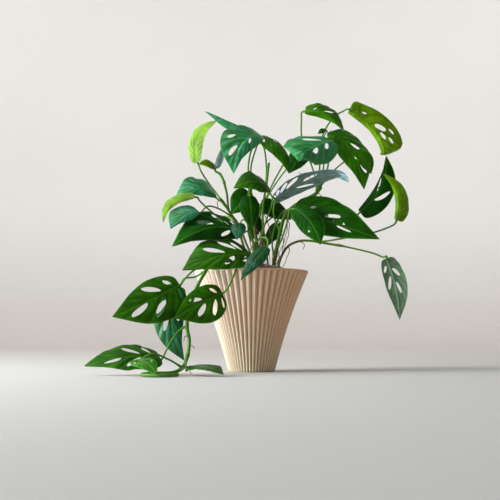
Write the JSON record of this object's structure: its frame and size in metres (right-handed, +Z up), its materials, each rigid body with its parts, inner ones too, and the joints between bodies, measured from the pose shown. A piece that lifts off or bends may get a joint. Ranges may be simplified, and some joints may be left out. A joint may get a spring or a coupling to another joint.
{
  "type": "potted adansons monstera",
  "caption": "Swiss cheese vine with holed heart-shaped leaves on arching and trailing stems, standing in a pleated flared pot filled with potting mix.",
  "frame": {"origin": "centre of the pot's foot, on the surface that it stands on", "axes": "+Z up, -Y the front of the plant, +X to the right of someone facing the front"},
  "size_m": [0.3849, 0.2664, 0.343],
  "materials": {
    "pot_clay": "matte",
    "potting_mix": "matte",
    "vine_green": "satin",
    "leaf_deep": "satin",
    "leaf_mid": "satin",
    "leaf_teal": "satin",
    "leaf_young": "satin",
    "leaf_olive": "satin",
    "leaf_pale": "matte",
    "leaf_grey": "matte"
  },
  "bodies": {
    "root": {"pot": "pot_clay", "soil": "potting_mix", "vine_trailing": "vine_green", "vine_front": "vine_green", "vine_left": "vine_green", "vine_slim": "vine_green", "vine_crown": "vine_green", "vine_centre": "vine_green", "vine_right": "vine_green", "vine_low": "vine_green", "vine_rear": "vine_green", "leaf_crown_left_rear": "leaf_teal", "leaf_crown_front": "leaf_teal", "leaf_crown_right": "leaf_mid", "leaf_crown_young": "leaf_young", "leaf_left_bud_low": "leaf_olive", "leaf_left_bud_high": "leaf_grey", "leaf_left_upper": "leaf_teal", "leaf_left_young": "leaf_young", "leaf_left_middle": "leaf_teal", "leaf_left_dark": "leaf_deep", "leaf_centre_folded": "leaf_mid", "leaf_centre_dark": "leaf_deep", "leaf_centre_rear_left": "leaf_deep", "leaf_centre_rear_right": "leaf_deep", "leaf_centre_low_left": "leaf_deep", "leaf_centre_low_right": "leaf_deep", "leaf_right_broad": "leaf_teal", "leaf_right_under": "leaf_deep", "leaf_right_large": "leaf_mid", "leaf_right_top": "leaf_mid", "leaf_right_bud": "leaf_deep", "leaf_right_yellow": "leaf_olive", "leaf_right_rear_tip": "leaf_mid", "leaf_right_dark_up": "leaf_deep", "leaf_right_olive": "leaf_olive", "leaf_right_hanging": "leaf_pale", "leaf_right_low_big": "leaf_deep", "leaf_right_low_front": "leaf_deep", "leaf_right_shaded": "leaf_grey", "leaf_front_big": "leaf_mid", "leaf_front_under": "leaf_teal", "leaf_front_small": "leaf_teal", "leaf_trail_upper": "leaf_mid", "leaf_trail_inner": "leaf_mid", "leaf_trail_hanging": "leaf_teal", "leaf_trail_low_left": "leaf_mid", "leaf_trail_low_narrow": "leaf_mid", "leaf_trail_low_front": "leaf_deep", "leaf_rear_left": "leaf_mid", "leaf_rear_right": "leaf_deep", "leaf_rear_high": "leaf_mid"}
  },
  "joints": []
}
